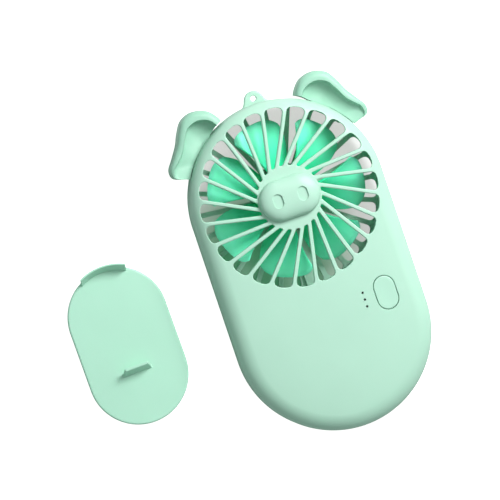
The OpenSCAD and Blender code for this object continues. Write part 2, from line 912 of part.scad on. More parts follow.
module stand_tab() {
    y0 = stand_tab_y - stand_tab_t / 2;
    y1 = stand_tab_y + stand_tab_t / 2;
    z1 = stand_t + stand_rise;
    difference() {
        leaning([[y0, stand_t - eps], [y1, stand_t - eps], [y1 + stand_shift, z1], [y0 + stand_shift, z1]]);
        for (side = [0, 1])
            mirror([side, 0, 0])
                translate([stand_tab_w / 2, 0, stand_t])
                    rotate([0, -atan(stand_end_slope / stand_rise), 0])
                        translate([0, stand_tab_y - stand_rise, -past])
                            cube([stand_tab_w, 3 * stand_rise, stand_rise + 4 * past]);
    }
}

module stand_lip() {
    out_r = stand_r - stand_lip_set;
    z1 = stand_t + stand_rise;
    intersection() {
        translate([0, stand_run / 2, 0])
            rotate([0, 0, 45])
                rotate_extrude(angle = 90)
                    polygon([[out_r - stand_lip_t, stand_t - eps], [out_r, stand_t - eps],
                        [out_r + stand_shift, z1], [out_r + stand_shift - stand_lip_t, z1]]);
        rotate([90, 0, 0])
            linear_extrude(2 * stand_l, center = true)
                polygon([[-stand_lip_w / 2, 0], [stand_lip_w / 2, 0], [stand_lip_w / 2, stand_t],
                    [stand_lip_w / 2 - stand_end_slope, z1], [stand_end_slope - stand_lip_w / 2, z1],
                    [-stand_lip_w / 2, stand_t]]);
    }
}

module stand_plate() {
    color([0.75, 0.93, 0.85])
        translate([stand_xy[0], stand_xy[1], 0])
            rotate([0, 0, stand_turn]) {
                long_round([[0, 0], [stand_r - stand_edge, 0], [stand_r, stand_edge],
                    [stand_r, stand_t - stand_edge / 2], [stand_r - stand_edge / 2, stand_t], [0, stand_t]],
                    stand_run);
                stand_tab();
                stand_lip();
            }
}

front_cover();
rear_cover();
snout_cap();
ear_left();
ear_right();
power_button();
switch_plunger();
tact_switch();
light_guide();
status_leds();
circuit_board();
control_chip();
inductor();
usb_socket();
usb_tongue();
board_screws();
cover_screws();
battery_cell();
battery_pad();
battery_lead_red();
battery_lead_black();
motor_lead_red();
motor_lead_black();
wire_channel();
motor_board();
bearing_tube();
sleeve_bearing();
stator_core();
stator_windings();
motor_shaft();
retaining_clip();
rotor_cup();
magnet_ring();
impeller();
stand_plate();
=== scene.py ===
"""Looks of the handheld fan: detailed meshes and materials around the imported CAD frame."""
import json
import math

import bmesh
import bpy
from mathutils import Matrix, Vector


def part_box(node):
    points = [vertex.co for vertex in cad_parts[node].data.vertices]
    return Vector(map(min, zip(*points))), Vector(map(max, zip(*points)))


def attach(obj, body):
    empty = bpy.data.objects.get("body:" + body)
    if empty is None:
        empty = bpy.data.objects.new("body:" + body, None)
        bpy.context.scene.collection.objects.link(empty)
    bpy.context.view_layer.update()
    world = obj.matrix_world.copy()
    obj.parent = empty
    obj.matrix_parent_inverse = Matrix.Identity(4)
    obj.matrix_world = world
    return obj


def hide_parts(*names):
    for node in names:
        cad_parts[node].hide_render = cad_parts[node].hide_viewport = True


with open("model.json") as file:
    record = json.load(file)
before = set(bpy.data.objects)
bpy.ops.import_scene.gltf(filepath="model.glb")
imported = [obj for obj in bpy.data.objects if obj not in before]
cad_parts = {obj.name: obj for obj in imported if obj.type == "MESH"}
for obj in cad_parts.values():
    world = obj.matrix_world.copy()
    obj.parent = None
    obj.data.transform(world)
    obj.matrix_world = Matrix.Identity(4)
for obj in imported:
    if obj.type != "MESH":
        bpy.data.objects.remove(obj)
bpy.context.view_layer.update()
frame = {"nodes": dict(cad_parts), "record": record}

MM = 0.001


def box_mm(node):
    """Lowest and highest corner of a CAD node, in millimetres."""
    low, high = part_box(node)
    return low / MM, high / MM


# Driving sizes in millimetres, taken from the frame
front_low, front_high = box_mm("front_cover")
button_low, button_high = box_mm("power_button")
snout_low, snout_high = box_mm("snout_cap")
led_low, led_high = box_mm("status_leds")

BODY_R = front_high.x
BODY_RUN = front_high.y - front_low.y - 2 * BODY_R
BODY_T = front_high.z
BODY_Y = -BODY_RUN / 2
PARTING_Z = BODY_T / 2
EDGE_H = 4.5            # height and width of the face's rounded edge
EDGE_W = 6.0
SIDE_WALL = 1.9
PLATE_WALL = 2.0
INNER_R = BODY_R - SIDE_WALL
FLAT_R = BODY_R - EDGE_W
FACE_CROWN = 1.3        # fall of the face from its middle to its rim
END_STEPS = 72
CUT_DEPTH = 4.2         # how far a cutter goes below the surface
CAP_GAP = 1             # how far a cutter's flat cap stands outside it

RIB_COUNT = 24
RIB_STEP = 360 / RIB_COUNT
FRONT_RIB = {"tangent": 6.08, "turn": 3.35, "width": 1.4, "r_in": 11.8, "r_out": 33.0}
REAR_RIB = {"tangent": 0.0, "turn": 99.3, "width": 1.8, "r_in": 12.4, "r_out": 34.3}
WIRE_RIB_HALF = 2.5     # half width of the rear rib that carries the motor leads
DUCT_WALL = 1.2         # the duct's wall below the impeller, and its angles
DUCT_SPAN = (198, 342)
DUCT_OVERLAP = 0.05
THIN_FROM_R = 33        # the side wall is thinned on the right, where daylight shows
THIN_R = 34.6
THIN_SPAN = (-40, 82)
EAR_NECKS = ((36, 57), (123, 144))      # angles of the right and the left ear's neck
NECK_GAP = 0.2

CASE_SCREWS = ((29, -28), (-29, -28), (16, -77.5), (-16, -77.5))
BOSS_R = 3
BOSS_BEVEL = 0.3

BUTTON_XY = ((button_low.x + button_high.x) / 2, (button_low.y + button_high.y) / 2)
BUTTON_R = 3.85
BUTTON_RUN = 4.6
BUTTON_GAP = 0.25
LED_R = 0.4
LED_X = (led_low.x + led_high.x) / 2
LED_YS = [led_low.y + LED_R, (led_low.y + led_high.y) / 2, led_high.y - LED_R]
LED_HOLE_R = 0.46
LED_HOLE_ROUND = 0.08


# ---------------------------------------------------------------- mesh helpers

def arc(cx, cy, r, start, stop, steps):
    """Points on an arc, angles in degrees."""
    turns = [math.radians(start + (stop - start) * i / steps) for i in range(steps + 1)]
    return [(cx + r * math.cos(a), cy + r * math.sin(a)) for a in turns]


def catmull(points, steps):
    """A smooth open curve through a list of points of any dimension."""
    out = []
    last = len(points) - 1
    for i in range(last):
        a, b = points[max(i - 1, 0)], points[i]
        c, d = points[i + 1], points[min(i + 2, last)]
        for j in range(steps):
            t = j / steps
            out.append(tuple(
                0.5 * (2 * q + (r - p) * t + (2 * p - 5 * q + 4 * r - s) * t * t
                       + (3 * q - p - 3 * r + s) * t ** 3)
                for p, q, r, s in zip(a, b, c, d)))
    out.append(tuple(points[last]))
    return out


def ramp(t, *stops):
    """A smooth curve through (position, value) stops, flat before the first and after the last."""
    if t <= stops[0][0]:
        return stops[0][1]
    for (p0, v0), (p1, v1) in zip(stops, stops[1:]):
        if t <= p1:
            k = (t - p0) / (p1 - p0)
            return v0 + (v1 - v0) * k * k * (3 - 2 * k)
    return stops[-1][1]


def raw_object(name, points, faces):
    """A mesh object from points in millimetres, with doubles merged and normals outward."""
    mesh = bpy.data.meshes.new(name)
    mesh.from_pydata([Vector(p) * MM for p in points], [], faces)
    obj = bpy.data.objects.new(name, mesh)
    bpy.context.scene.collection.objects.link(obj)
    tidy(obj)
    return obj


def tidy(obj, sharp_deg=None):
    """Merges doubles, drops empty faces, and marks edges sharper than an angle."""
    work = bmesh.new()
    work.from_mesh(obj.data)
    bmesh.ops.remove_doubles(work, verts=work.verts, dist=2e-6)
    bmesh.ops.dissolve_degenerate(work, edges=work.edges, dist=1e-6)
    bmesh.ops.recalc_face_normals(work, faces=work.faces)
    for face in work.faces:
        face.smooth = True
    if sharp_deg is not None:
        limit = math.radians(sharp_deg)
        for edge in work.edges:
            edge.smooth = len(edge.link_faces) == 2 and edge.calc_face_angle() < limit
    work.to_mesh(obj.data)
    work.free()


def loft(name, rings):
    """A tube of quads through closed rings of equal length, with its two ends filled."""
    count = len(rings[0])
    points = [p for ring in rings for p in ring]
    faces = []
    for i in range(len(rings) - 1):
        for j in range(count):
            k = (j + 1) % count
            faces.append((i * count + j, i * count + k, (i + 1) * count + k, (i + 1) * count + j))
    faces.append(tuple(range(count))[::-1])
    faces.append(tuple(range((len(rings) - 1) * count, len(rings) * count)))
    return raw_object(name, points, faces)


def round_stations(run, steps):
    """Unit directions and centres round a stadium that runs along Y."""
    stations = []
    for end in (1, -1):
        for i in range(steps + 1):
            a = math.pi * i / steps + (0 if end == 1 else math.pi)
            stations.append((math.cos(a), math.sin(a), end * run / 2))
    return stations


def sweep_round(name, profile, run, steps=END_STEPS, centre=(0, 0), closed=False):
    """Sweeps (distance, height) points round a stadium.

    An open profile starts and ends on the stadium's core line.
    """
    points = []
    for cx, cy, off in round_stations(run, steps):
        points += [(centre[0] + d * cx, centre[1] + off + d * cy, z) for d, z in profile]
    count = len(profile)
    stations = 2 * (steps + 1)
    faces = []
    for i in range(stations):
        n = (i + 1) % stations
        for j in range(count if closed else count - 1):
            k = (j + 1) % count
            faces.append((i * count + j, n * count + j, n * count + k, i * count + k))
    return raw_object(name, points, faces)


def stadium_outline(half_w, run, steps=20, centre=(0, 0)):
    """A closed stadium that runs along Y, as (x, y) points."""
    return [(centre[0] + half_w * cx, centre[1] + off + half_w * cy)
            for cx, cy, off in round_stations(run, steps)]


def grown(outline, amount):
    """A closed outline moved outward by an amount, corner by corner."""
    out = []
    count = len(outline)
    for i in range(count):
        a, b, c = (Vector(outline[(i + k) % count]) for k in (-1, 0, 1))
        u, v = (b - a), (c - b)
        if u.length < 1e-6 or v.length < 1e-6:
            u = v = u if u.length > v.length else v
        n1 = Vector((u.y, -u.x)).normalized()
        n2 = Vector((v.y, -v.x)).normalized()
        mid = n1 + n2
        mid = mid / max(mid.length_squared, 0.5) * 2
        out.append(tuple(b + mid * amount))
    return out


def cutter(name, outline, levels, height, cap_z):
    """A closed cutting solid: a flat cap, then (growth, drop below the surface) levels."""
    rings = [[(x, y, cap_z) for x, y in grown(outline, levels[0][0])]]
    for growth, drop in levels:
        ring = grown(outline, growth) if growth else outline
        rings.append([(x, y, height(x, y) - drop) for x, y in ring])
    return loft(name, rings)


def fillet_levels(fillet, depth, steps=4):
    """Levels for a cutter whose mouth is rounded over by a fillet."""
    levels = []
    for i in range(steps + 1):
        a = math.pi / 2 * i / steps
        levels.append((fillet * (1 - math.sin(a)), fillet * (1 - math.cos(a))))
    levels.append((0, depth))
    return levels


def joined(objects):
    """Joins loose solids into one object."""
    work = bmesh.new()
    for obj in objects:
        work.from_mesh(obj.data)
        bpy.data.objects.remove(obj)
    mesh = bpy.data.meshes.new("joined")
    work.to_mesh(mesh)
    work.free()
    obj = bpy.data.objects.new("joined", mesh)
    bpy.context.scene.collection.objects.link(obj)
    return obj


def combine(obj, other, operation):
    """Boolean of two closed solids; the second one is used up.

    Blender skips it, with only a warning, where a solid isn't closed.
    """
    mod = obj.modifiers.new("combine", "BOOLEAN")
    mod.operation = operation
    mod.solver = "MANIFOLD"
    mod.object = other
    graph = bpy.context.evaluated_depsgraph_get()
    mesh = bpy.data.meshes.new_from_object(obj.evaluated_get(graph))
    obj.modifiers.clear()
    obj.data = mesh
    bpy.data.objects.remove(other)
    tidy(obj)
    return obj


def block(name, low, high):
    """A box between two corners."""
    work = bmesh.new()
    bmesh.ops.create_cube(work, size=1)
    low, high = Vector(low), Vector(high)
    for v in work.verts:
        v.co = [(low[i] + high[i]) / 2 + v.co[i] * (high[i] - low[i]) for i in range(3)]
        v.co *= MM
    mesh = bpy.data.meshes.new(name)
    work.to_mesh(mesh)
    work.free()
    obj = bpy.data.objects.new(name, mesh)
    bpy.context.scene.collection.objects.link(obj)
    return obj


def round_solid(name, profile, steps=64, centre=(0, 0)):
    """Revolves an open (radius, height) profile that starts and ends on the axis."""
    return sweep_round(name, profile, 0, steps // 2, centre)


def sector_solid(name, r_in, r_out, start, stop, z0, z1, steps=24):
    """Part of a ring between two angles."""
    rings = []
    for i in range(steps + 1):
        a = math.radians(start + (stop - start) * i / steps)
        c, s = math.cos(a), math.sin(a)
        rings.append([(r * c, r * s, z) for r, z in
                      ((r_in, z0), (r_out, z0), (r_out, z1), (r_in, z1))])
    return loft(name, rings)


def finish_piece(obj, name, body, material, replaced, sharp_deg=32):
    """Names a piece, gives it its material and body, and hides the CAD nodes it stands for."""
    obj.name = name
    tidy(obj, sharp_deg)
    mod = obj.modifiers.new("even_normals", "WEIGHTED_NORMAL")
    mod.keep_sharp = True
    mod.weight = 80
    obj.data.materials.clear()
    obj.data.materials.append(material)
    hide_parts(*replaced)
    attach(obj, body)
    return obj


# ---------------------------------------------------------------- materials

def shader(name):
    """A new material with its node tree, its Principled shader and an object-space position."""
    mat = bpy.data.materials.new(name)
    mat.use_nodes = True
    tree = mat.node_tree
    place = tree.nodes.new("ShaderNodeTexCoord").outputs["Object"]
    return mat, tree, tree.nodes["Principled BSDF"], place


def noise(tree, place, scale, detail=3.0, rough=0.55):
    node = tree.nodes.new("ShaderNodeTexNoise")
    node.inputs["Scale"].default_value = scale
    node.inputs["Detail"].default_value = detail
    node.inputs["Roughness"].default_value = rough
    tree.links.new(place, node.inputs["Vector"])
    return node.outputs["Fac"]


def colour_between(tree, value, low, high, start=0.3, stop=0.7):
    node = tree.nodes.new("ShaderNodeValToRGB")
    node.color_ramp.elements[0].position = start
    node.color_ramp.elements[1].position = stop
    node.color_ramp.elements[0].color = (*low, 1)
    node.color_ramp.elements[1].color = (*high, 1)
    tree.links.new(value, node.inputs["Fac"])
    return node.outputs["Color"]


def number_between(tree, value, low, high, start=0.3, stop=0.7):
    node = tree.nodes.new("ShaderNodeMapRange")
    node.inputs["From Min"].default_value = start
    node.inputs["From Max"].default_value = stop
    node.inputs["To Min"].default_value = low
    node.inputs["To Max"].default_value = high
    tree.links.new(value, node.inputs["Value"])
    return node.outputs["Result"]


def number_of(tree, operation, first, second):
    node = tree.nodes.new("ShaderNodeMath")
    node.operation = operation
    tree.links.new(first, node.inputs[0])
    tree.links.new(second, node.inputs[1])
    return node.outputs["Value"]


def distance_to(tree, place, point):
    node = tree.nodes.new("ShaderNodeVectorMath")
    node.operation = "DISTANCE"
    node.inputs[1].default_value = point
    tree.links.new(place, node.inputs[0])
    return node.outputs["Value"]


def add_bump(tree, surface, height, distance):
    node = tree.nodes.new("ShaderNodeBump")
    node.inputs["Strength"].default_value = 1.0
    node.inputs["Distance"].default_value = distance
    tree.links.new(height, node.inputs["Height"])
    tree.links.new(node.outputs["Normal"], surface.inputs["Normal"])


def moulded_plastic(name, colour, rough=0.42, scatter=0.12, grain=1.2e-5):
    """Satin moulded plastic: slight colour drift, a fine grain, faint scuffs in its gloss."""
    mat, tree, surface, place = shader(name)
    drift = noise(tree, place, 38, 2)
    shade = tuple(c * 0.965 for c in colour)
    tree.links.new(colour_between(tree, drift, shade, colour), surface.inputs["Base Color"])
    scuff = noise(tree, place, 420, 5, 0.7)
    tree.links.new(number_between(tree, scuff, rough - 0.05, rough + 0.07),
                   surface.inputs["Roughness"])
    add_bump(tree, surface, noise(tree, place, 5200, 2, 0.6), grain)
    surface.inputs["IOR"].default_value = 1.46
    surface.inputs["Subsurface Weight"].default_value = scatter
    surface.inputs["Subsurface Radius"].default_value = (0.6, 1.0, 0.8)
    surface.inputs["Subsurface Scale"].default_value = 0.0012
    return mat


BLADE_REACH = 0.0296    # metres from the axis at which the tip colour is reached


def blade_plastic(name, inner, outer):
    """Satin, slightly translucent green plastic with flow marks, darker towards the hub as a
    painted shade and paler towards the blade tips.
    """
    mat, tree, surface, place = shader(name)
    flat = tree.nodes.new("ShaderNodeVectorMath")
    flat.operation = "MULTIPLY"
    flat.inputs[1].default_value = (1, 1, 0)
    reach = tree.nodes.new("ShaderNodeVectorMath")
    reach.operation = "LENGTH"
    tree.links.new(place, flat.inputs[0])
    tree.links.new(flat.outputs["Vector"], reach.inputs[0])
    span = number_between(tree, reach.outputs["Value"], 0, 1, 0.0, BLADE_REACH)
    # painted shade: the blades darken towards the hub
    hub_shade_ramp = colour_between(tree, span, inner, outer, 0.42, 0.95)
    flow = colour_between(tree, noise(tree, place, 70, 3, 0.5), (0.90, 0.93, 0.91), (1, 1, 1))
    mix = tree.nodes.new("ShaderNodeMix")
    mix.data_type = "RGBA"
    mix.blend_type = "MULTIPLY"
    mix.inputs["Factor"].default_value = 1.0
    tree.links.new(hub_shade_ramp, mix.inputs[6])
    tree.links.new(flow, mix.inputs[7])
    tree.links.new(mix.outputs[2], surface.inputs["Base Color"])
    tree.links.new(number_between(tree, noise(tree, place, 300, 4), 0.44, 0.54),
                   surface.inputs["Roughness"])
    add_bump(tree, surface, noise(tree, place, 900, 2), 1.0e-5)
    surface.inputs["Specular IOR Level"].default_value = 0.3
    surface.inputs["Subsurface Weight"].default_value = 0.35
    surface.inputs["Subsurface Radius"].default_value = (0.3, 1.0, 0.6)
    surface.inputs["Subsurface Scale"].default_value = 0.0025
    return mat


def metal(name, colour, rough, stretch=(1, 1, 30), scale=260):
    """Plated or turned metal with fine tool lines."""
    mat, tree, surface, place = shader(name)
    mapping = tree.nodes.new("ShaderNodeMapping")
    mapping.inputs["Scale"].default_value = stretch
    tree.links.new(place, mapping.inputs["Vector"])
    lines = noise(tree, mapping.outputs["Vector"], scale, 4)
    dark = tuple(c * 0.85 for c in colour)
    tree.links.new(colour_between(tree, lines, dark, colour), surface.inputs["Base Color"])
    tree.links.new(number_between(tree, lines, rough * 0.8, rough * 1.25),
                   surface.inputs["Roughness"])
    surface.inputs["Metallic"].default_value = 1.0
    return mat


def speckled(name, colour, other, rough, scale=900, grain=2e-5):
    """Plain engineering plastic, ferrite, foam or solder mask with a fine speckle."""
    mat, tree, surface, place = shader(name)
    grit = noise(tree, place, scale, 4, 0.65)
    tree.links.new(colour_between(tree, grit, colour, other), surface.inputs["Base Color"])
    tree.links.new(number_between(tree, grit, rough, min(rough + 0.12, 1)),
                   surface.inputs["Roughness"])
    add_bump(tree, surface, grit, grain)
    return mat


def wound_wire(name):
    """Enamelled copper wire laid in even turns."""
    mat, tree, surface, place = shader(name)
    wave = tree.nodes.new("ShaderNodeTexWave")
    wave.bands_direction = "Z"
    wave.inputs["Scale"].default_value = 1100
    wave.inputs["Distortion"].default_value = 0.6
    tree.links.new(place, wave.inputs["Vector"])
    dark, bright = (0.30, 0.10, 0.03), (0.72, 0.30, 0.10)
    tree.links.new(colour_between(tree, wave.outputs["Fac"], dark, bright),
                   surface.inputs["Base Color"])
    add_bump(tree, surface, wave.outputs["Fac"], 8e-5)
    surface.inputs["Metallic"].default_value = 0.8
    surface.inputs["Roughness"].default_value = 0.3
    return mat


MINT = (0.435, 0.68, 0.55)
MINT_BACK = (0.42, 0.66, 0.535)
mats = {
    "shell": moulded_plastic("mint_shell", MINT),
    "shell_back": moulded_plastic("mint_back", MINT_BACK),
    # the ears take a darker copy of the shell's mint: painted shade
    "ears": moulded_plastic("mint_ears_painted_shade", (0.33, 0.60, 0.46)),
    "button": moulded_plastic("mint_button", (0.44, 0.70, 0.565), rough=0.38),
    "stand": moulded_plastic("mint_stand", (0.46, 0.77, 0.61), rough=0.48),
    # the darker inner colour is painted shade near the hub
    "blades": blade_plastic("green_blades", (0.05, 0.97, 0.52), (0.21, 0.98, 0.62)),
    "black_plastic": speckled("black_plastic", (0.015, 0.015, 0.016), (0.03, 0.03, 0.032), 0.5),
    "smoked_plastic": speckled("smoked_plastic", (0.004, 0.012, 0.009), (0.01, 0.02, 0.016), 0.2),
    "led": speckled("led_lens", (0.80, 0.72, 0.30), (0.88, 0.84, 0.55), 0.25),
    "board": speckled("solder_mask", (0.012, 0.13, 0.05), (0.02, 0.18, 0.08), 0.3, 300),
    "ferrite": speckled("ferrite", (0.05, 0.05, 0.055), (0.10, 0.10, 0.105), 0.6, 1500),
    "foam": speckled("foam", (0.62, 0.62, 0.58), (0.80, 0.80, 0.76), 0.9, 2200, 8e-5),
    "lead_red": speckled("lead_red", (0.42, 0.012, 0.010), (0.52, 0.02, 0.016), 0.4),
    "lead_black": speckled("lead_black", (0.010, 0.010, 0.010), (0.02, 0.02, 0.02), 0.4),
    "steel": metal("plated_steel", (0.58, 0.59, 0.61), 0.28),
    "screw_steel": metal("zinc_screws", (0.55, 0.56, 0.58), 0.34),
    "core_steel": metal("laminations", (0.36, 0.37, 0.39), 0.45, (1, 1, 60), 400),
    "cell_wrap": metal("cell_foil", (0.52, 0.57, 0.63), 0.42, (1, 1, 1), 160),
    "brass": metal("turned_brass", (0.72, 0.52, 0.20), 0.3),
    "bronze": metal("sintered_bronze", (0.50, 0.32, 0.16), 0.5, (1, 1, 1), 900),
    "copper_wire": wound_wire("copper_wire"),
}


# ---------------------------------------------------------------- case

def face_z(x, y):
    """Height of the front face: a faint crown, then the rounded edge."""
    y_core = min(max(y, -BODY_RUN), 0.0)
    d = math.hypot(x, y - y_core)
    crown = BODY_T - FACE_CROWN * (min(d, BODY_R) / BODY_R) ** 4
    over = min(max(d - FLAT_R, 0) / EDGE_W, 1)
    return crown - EDGE_H * (1 - math.sqrt(1 - over ** 2))


def back_z(x, y):
    return BODY_T - face_z(x, y)


def half_profile():
    """Outside and inside of the front half shell, from the core line round to it again."""
    across = [FLAT_R * k / 20 for k in range(20)]
    across += [FLAT_R + EDGE_W * math.sin(math.pi / 2 * k / 18) for k in range(19)]
    outside = [(d, face_z(d, 0)) for d in across]
    seam = [(BODY_R, PARTING_Z + 0.35), (BODY_R - 0.1, PARTING_Z + 0.12),
            (BODY_R - 0.35, PARTING_Z + 0.02), (INNER_R, PARTING_Z + 0.02)]
    inner_round = 2.6
    inner_top = face_z(INNER_R - inner_round, 0) - 1.6
    inside = arc(INNER_R - inner_round, inner_top - inner_round, inner_round, 0, 90, 8)
    inside += [(20, BODY_T - PLATE_WALL - 0.1), (0, BODY_T - PLATE_WALL - 0.1)]
    return outside + seam + inside


def on_line(distance, angle, r):
    """The point at radius r on a line that passes the axis at a distance."""
    a = math.radians(angle) - math.acos(distance / r)
    return Vector((r * math.cos(a), r * math.sin(a)))


def rounded_corner(before, p, after, r, steps):
    """An arc of radius r in place of the corner at p."""
    u, v = (before - p).normalized(), (after - p).normalized()
    half = u.angle(v) / 2
    mid = p + (u + v).normalized() * (r / math.sin(half))
    start, stop = p + u * (r / math.tan(half)) - mid, p + v * (r / math.tan(half)) - mid
    a0 = math.atan2(start.y, start.x)
    turn = (math.atan2(stop.y, stop.x) - a0 + math.pi) % (2 * math.pi) - math.pi
    turns = [a0 + turn * i / steps for i in range(steps + 1)]
    return [(mid.x + r * math.cos(a), mid.y + r * math.sin(a)) for a in turns]


def slot_outline(rib, index, end_round=1.7, tip_round=0.42):
    """Outline of one grille slot between two ribs."""
    angle = rib["turn"] + index * RIB_STEP
    low, high = rib["tangent"] + rib["width"] / 2, rib["tangent"] - rib["width"] / 2
    a, b = on_line(low, angle, rib["r_in"]), on_line(low, angle, rib["r_out"])
    c = on_line(high, angle + RIB_STEP, rib["r_out"])
    d = on_line(high, angle + RIB_STEP, rib["r_in"])
    start = math.degrees(math.atan2(b.y, b.x))
    span = (math.degrees(math.atan2(c.y, c.x)) - start) % 360
    return (rounded_corner(d, a, b, tip_round, 5) + rounded_corner(a, b, c, end_round, 8)
            + arc(0, 0, rib["r_out"], start + span * 0.32, start + span * 0.68, 4)
            + rounded_corner(b, c, d, end_round, 8) + rounded_corner(c, d, a, tip_round, 5))


def add_duct_wall(cover, low, high):
    """Adds a cover's half of the duct's wall below the impeller, between two heights."""
    wall = sector_solid("duct", INNER_R, INNER_R + DUCT_WALL, *DUCT_SPAN, low, high, 48)
    combine(cover, wall, "UNION")


def thin_side_wall(cover, low, high):
    """Thins the side wall on the right from inside, between two heights."""
    thinned = sector_solid("thinned", THIN_FROM_R, THIN_R, *THIN_SPAN, low, high, 72)
    combine(cover, thinned, "DIFFERENCE")


def add_bosses(cover, profile):
    for spot in CASE_SCREWS:
        combine(cover, round_solid("boss", profile, 32, spot), "UNION")


def cut_neck_openings(cover):
    """Cuts the side wall's openings for the necks of the ears."""
    for start, stop in EAR_NECKS:
        opening = sector_solid("ear_cut", INNER_R - 1, BODY_R + 1, start - NECK_GAP,
                               stop + NECK_GAP, 8.4, 13.6)
        combine(cover, opening, "DIFFERENCE")


def led_hole_cutter(y):
    top = face_z(LED_X, y)
    low, high = 18, 23
    mouth_r, bevel = LED_HOLE_R + LED_HOLE_ROUND, 0.025
    profile = [(0, low), (LED_HOLE_R, low), (LED_HOLE_R, top - LED_HOLE_ROUND),
               (LED_HOLE_R + bevel, top - bevel), (mouth_r, top), (mouth_r, high), (0, high)]
    return round_solid("led_hole", profile, 28, (LED_X, y))


def make_front_cover():
    cover = sweep_round("front", half_profile(), BODY_RUN, centre=(0, BODY_Y))
    add_duct_wall(cover, PARTING_Z + 0.02, BODY_T - PLATE_WALL + DUCT_OVERLAP)
    thin_side_wall(cover, PARTING_Z - 1, 16.5)
    boss_low, boss_high = 9, 20.3
    add_bosses(cover, [(0, boss_low), (BOSS_R - BOSS_BEVEL, boss_low),
                       (BOSS_R, boss_low + BOSS_BEVEL), (BOSS_R, boss_high), (0, boss_high)])
    cap_z = BODY_T + CAP_GAP
    slots = [cutter("slot", slot_outline(FRONT_RIB, k), fillet_levels(0.32, CUT_DEPTH), face_z,
                    cap_z) for k in range(RIB_COUNT)]
    combine(cover, joined(slots), "DIFFERENCE")
    button_hole = stadium_outline(BUTTON_R + BUTTON_GAP, BUTTON_RUN, 24, BUTTON_XY)
    cut = [cutter("button_hole", button_hole, fillet_levels(0.22, CUT_DEPTH), face_z, cap_z)]
    cut += [led_hole_cutter(y) for y in LED_YS]
    cut.append(usb_cutter())
    combine(cover, joined(cut), "DIFFERENCE")
    cut_neck_openings(cover)
    return finish_piece(cover, "front_cover_shell", "housing", mats["shell"],
                        ["front_cover"])


def usb_cutter():
    """Cutter for the charging port's opening in the right side wall."""
    low, high = box_mm("usb_socket")
    mid_y, mid_z = (low.y + high.y) / 2, (low.z + high.z) / 2
    gap = 0.3
    half = (high.z - low.z) / 2 + gap
    run = (high.y - low.y) - (high.z - low.z)
    outline = stadium_outline(half, run, 16)
    rings = []
    for x, growth in ((INNER_R - 1, 0), (BODY_R - 0.45, 0), (BODY_R - 0.12, 0.14),
                      (BODY_R + 0.02, 0.4), (BODY_R + 1.2, 0.4)):
        ring = grown(outline, growth) if growth else outline
        rings.append([(x, mid_y + q, mid_z + p) for p, q in ring])
    return loft("usb_hole", rings)


def flipped(profile):
    return [(d, BODY_T - z) for d, z in profile]


def make_rear_cover():
    cover = sweep_round("rear", flipped(half_profile()), BODY_RUN, centre=(0, BODY_Y))
    lip_r, lip_low, lip_high = INNER_R + 0.8, PARTING_Z - 1, PARTING_Z + 0.01
    lip = sweep_round("lip", [(INNER_R, lip_low), (lip_r, lip_low), (lip_r, lip_high),
                              (INNER_R, lip_high)], BODY_RUN, centre=(0, BODY_Y), closed=True)
    combine(cover, lip, "UNION")
    add_duct_wall(cover, PLATE_WALL - DUCT_OVERLAP, PARTING_Z - 0.02)
    thin_side_wall(cover, 5.5, PARTING_Z + 1)
    combine(cover, make_loop(), "UNION")
    boss_low, boss_high = 1.8, 9
    add_bosses(cover, [(0, boss_low), (BOSS_R, boss_low), (BOSS_R, boss_high - BOSS_BEVEL),
                       (BOSS_R - BOSS_BEVEL, boss_high), (0, boss_high)])
    levels = [(growth, -drop) for growth, drop in fillet_levels(0.3, CUT_DEPTH)]
    slots = [cutter("slot", slot_outline(REAR_RIB, k, 1.7, 0.6), levels, back_z, -CAP_GAP)
             for k in range(RIB_COUNT)]
    keep_rib = block("wire_rib", (-WIRE_RIB_HALF, -INNER_R, -3), (WIRE_RIB_HALF, 0, 8))
    combine(cover, combine(joined(slots), keep_rib, "DIFFERENCE"), "DIFFERENCE")
    mouth_r, head_r, shank_r = 2.35, 2.1, 1.15
    mouth_z, head_z, end_z = 0.25, 3.2, 9.5
    seat = [(0, -CAP_GAP), (mouth_r, -CAP_GAP), (mouth_r, 0), (head_r, mouth_z), (head_r, head_z),
            (shank_r, head_z), (shank_r, end_z), (0, end_z)]
    cut = [round_solid("seat", seat, 40, spot) for spot in CASE_SCREWS]
    cut.append(tab_slot_cutter())
    cut.append(round_solid("tube_seat", [(0, 0.8), (2.52, 0.8), (2.52, 3), (0, 3)], 48))
    combine(cover, joined(cut), "DIFFERENCE")
    # The mesh isn't closed by here, so Blender skips these cuts: the openings are missing
    cut_neck_openings(cover)
    return finish_piece(cover, "rear_cover_shell", "housing", mats["shell_back"],
                        ["rear_cover"])


def tab_slot_cutter():
    """Cutter for the slot in the foot that takes the stand's tab."""
    y_end = -BODY_RUN - BODY_R
    half, run, mid_z = 0.75, 9.8, 6.5
    outline = stadium_outline(half, run, 10)
    rings = []
    for y, growth in ((y_end - 1.5, 0.5), (y_end - 0.05, 0.5), (y_end + 0.15, 0.2),
                      (y_end + 0.55, 0), (y_end + 6, 0)):
        ring = grown(outline, growth) if growth else outline
        rings.append([(q, y, mid_z + p) for p, q in ring])
    return loft("tab_slot", rings)


